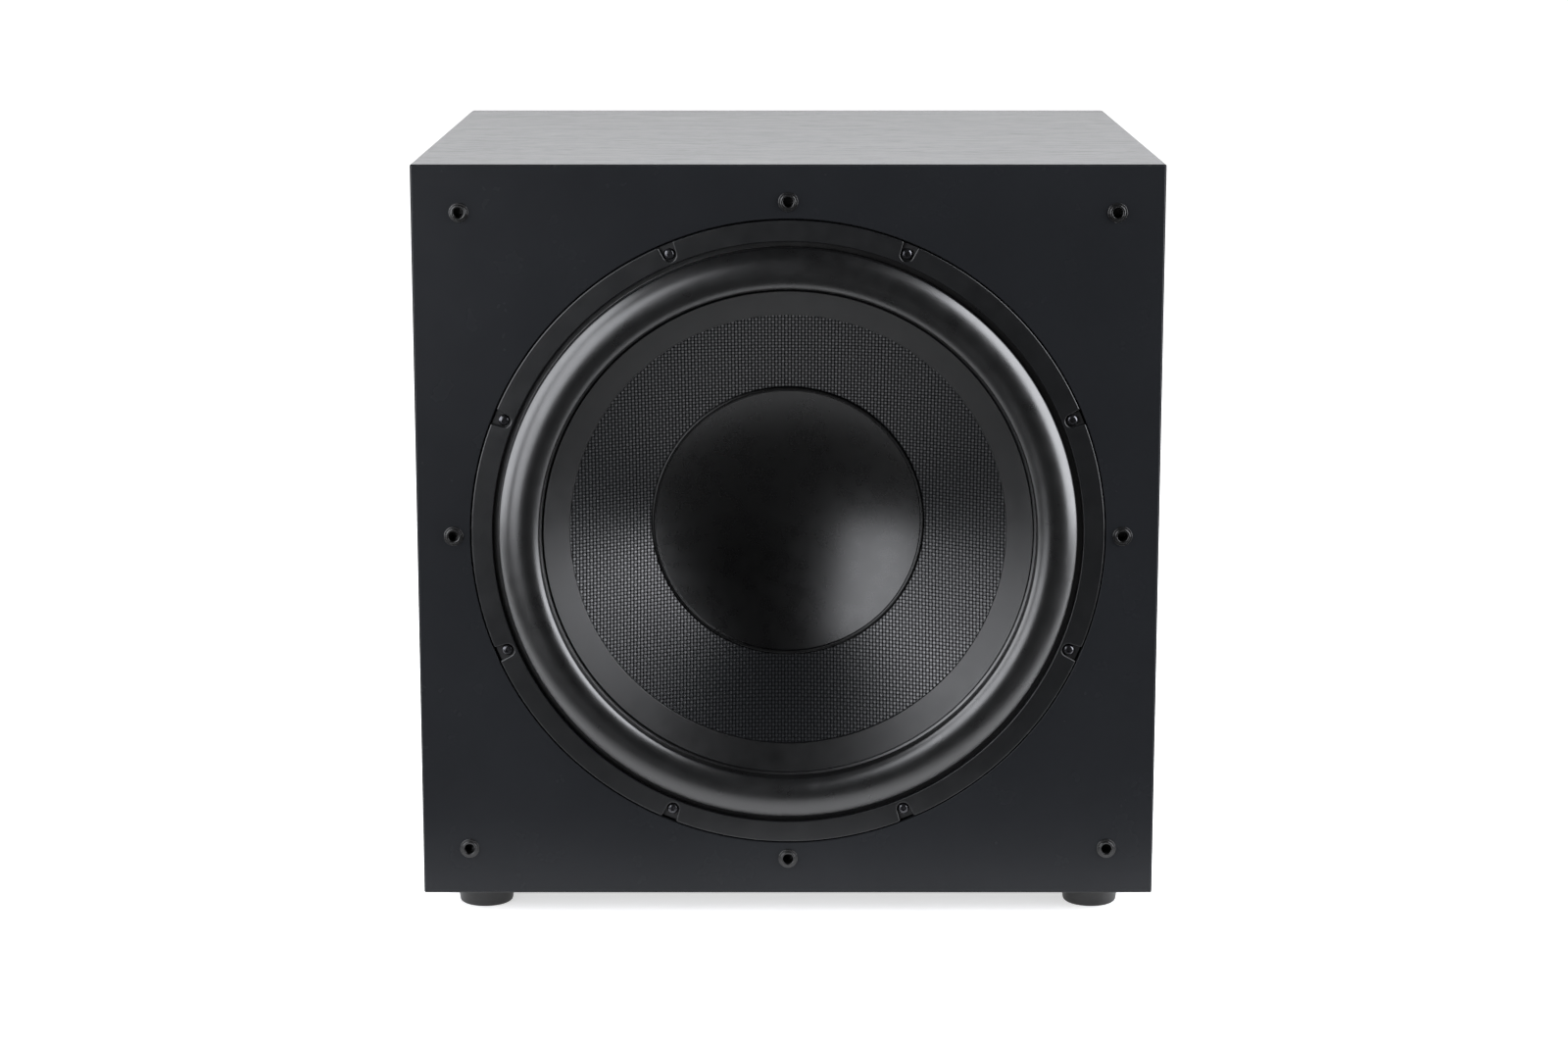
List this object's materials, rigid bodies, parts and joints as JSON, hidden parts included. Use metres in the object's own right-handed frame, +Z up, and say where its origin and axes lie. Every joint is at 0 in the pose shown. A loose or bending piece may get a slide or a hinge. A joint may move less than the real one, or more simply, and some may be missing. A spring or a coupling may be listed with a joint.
{
  "type": "subwoofer",
  "caption": "Active subwoofer: a sealed cube cabinet on rubber feet with a long-throw woven-cone driver in front and a plate amplifier behind.",
  "frame": {"origin": "on the floor, under the centre of the whole object's bounding box", "axes": "+Z up, the driver faces -Y, +X to the right seen from the front"},
  "size_m": [0.455, 0.4524, 0.47],
  "materials": {
    "black_ash_vinyl": "embossed wood-grain vinyl film, satin",
    "fibreboard": "bare medium-density fibreboard",
    "black_board": "fibreboard under black textured film",
    "baffle_lacquer": "smooth satin black lacquer",
    "socket_rubber": "soft black moulded plastic, slightly glossy",
    "foot_rubber": "matt black rubber",
    "grey_washer": "light grey moulded plastic",
    "zinc_steel": "zinc-plated steel",
    "black_steel": "black oxide steel",
    "cast_basket": "die-cast aluminium, black powder coat",
    "foam_gasket": "closed-cell foam",
    "ring_plastic": "satin black moulded plastic",
    "surround_rubber": "satin black butyl rubber",
    "woven_fibre": "plain-woven glass fibre in black resin",
    "band_rubber": "smooth satin black moulding",
    "cap_plastic": "smooth satin black shell",
    "coil_former": "amber polyimide sheet",
    "copper_wire": "enamelled copper winding",
    "spider_cloth": "resin-dipped woven cloth",
    "plated_steel": "machined steel, dark plating",
    "ferrite": "ground ceramic magnet",
    "braided_copper": "braided tinsel",
    "terminal_board": "phenolic board with plated tags",
    "damping_felt": "felted polyester",
    "amp_enamel": "black anodised aluminium, fine grain",
    "amp_plastic": "black moulded plastic",
    "knob_plastic": "satin black moulded plastic",
    "lever_plastic": "light grey moulded plastic",
    "rocker_plastic": "glossy black moulded plastic",
    "nickel_brass": "nickel-plated brass",
    "barrel_gold": "gold-plated brass",
    "lens_plastic": "translucent diffusing plastic",
    "circuit_board": "solder-masked glass laminate",
    "sink_aluminium": "extruded aluminium",
    "winding_tape": "polyester tape over copper windings",
    "capacitor_sleeve": "shrink-sleeved can",
    "wire_jacket": "flexible wire insulation"
  },
  "bodies": {
    "cabinet": {"top_panel": "fibreboard", "bottom_panel": "fibreboard", "left_panel": "fibreboard", "right_panel": "fibreboard", "vinyl_wrap": "black_ash_vinyl", "front_baffle": "baffle_lacquer", "grille_sockets": "socket_rubber", "window_brace": "fibreboard", "damping_pads": "damping_felt", "foot_front_left": "foot_rubber", "foot_front_right": "foot_rubber", "foot_rear_left": "foot_rubber", "foot_rear_right": "foot_rubber", "foot_washers": "grey_washer", "foot_screws": "zinc_steel", "basket_frame": "cast_basket", "driver_gasket": "foam_gasket", "trim_ring": "ring_plastic", "driver_screws": "black_steel", "t_nuts": "zinc_steel", "surround": "surround_rubber", "spider": "spider_cloth", "top_plate": "plated_steel", "magnet_rings": "ferrite", "yoke": "plated_steel", "driver_terminals": "terminal_board", "tinsel_leads": "braided_copper", "back_panel": "black_board", "amp_plate": "amp_enamel", "amp_gasket": "foam_gasket", "amp_screws": "black_steel", "mains_inlet": "amp_plastic", "inlet_pins": "nickel_brass", "rocker_frame": "amp_plastic", "pot_bodies": "nickel_brass", "switch_bodies": "nickel_brass", "jack_insulators": "amp_plastic", "jack_barrels": "barrel_gold", "trigger_jack": "amp_plastic", "status_lens": "lens_plastic", "control_board": "circuit_board", "power_board": "circuit_board", "board_pillars": "nickel_brass", "heat_sink": "sink_aluminium", "transformer": "winding_tape", "capacitors": "capacitor_sleeve", "speaker_leads": "wire_jacket"},
    "cone_assembly": {"cone": "woven_fibre", "cone_edge_ring": "band_rubber", "dust_cap": "cap_plastic", "coil_former": "coil_former", "voice_coil": "copper_wire"},
    "level_control": {"level_knob": "knob_plastic", "level_shaft": "nickel_brass"},
    "crossover_control": {"crossover_knob": "knob_plastic", "crossover_shaft": "nickel_brass"},
    "mode_switch": {"mode_lever": "lever_plastic"},
    "phase_switch": {"phase_lever": "lever_plastic"},
    "power_switch": {"power_rocker": "rocker_plastic"},
    "fuse_holder": {"fuse_drawer": "amp_plastic"}
  },
  "joints": [
    {"name": "cone_stroke", "type": "slide", "parent": "cabinet", "child": "cone_assembly", "axis": [0, -1, 0], "range_m": [-0.015, 0.015], "stiffness_N_per_m": 3000, "deforming": ["surround", "spider", "tinsel_leads"]},
    {"name": "level_turn", "type": "hinge", "parent": "cabinet", "child": "level_control", "pos_m": [0.066, 0.2122, 0.3165], "axis": [0, -1, 0], "range_deg": [0, 300]},
    {"name": "crossover_turn", "type": "hinge", "parent": "cabinet", "child": "crossover_control", "pos_m": [0.008, 0.2122, 0.3165], "axis": [0, -1, 0], "range_deg": [0, 300]},
    {"name": "mode_slide", "type": "slide", "parent": "cabinet", "child": "mode_switch", "axis": [-1, 0, 0], "range_m": [0, 0.006]},
    {"name": "phase_slide", "type": "slide", "parent": "cabinet", "child": "phase_switch", "axis": [-1, 0, 0], "range_m": [0, 0.006]},
    {"name": "power_rock", "type": "hinge", "parent": "cabinet", "child": "power_switch", "pos_m": [0.034, 0.2122, 0.1085], "axis": [-1, 0, 0], "range_deg": [0, 18]},
    {"name": "fuse_pull", "type": "slide", "parent": "cabinet", "child": "fuse_holder", "axis": [0, 1, 0], "range_m": [0, 0.012]}
  ]
}
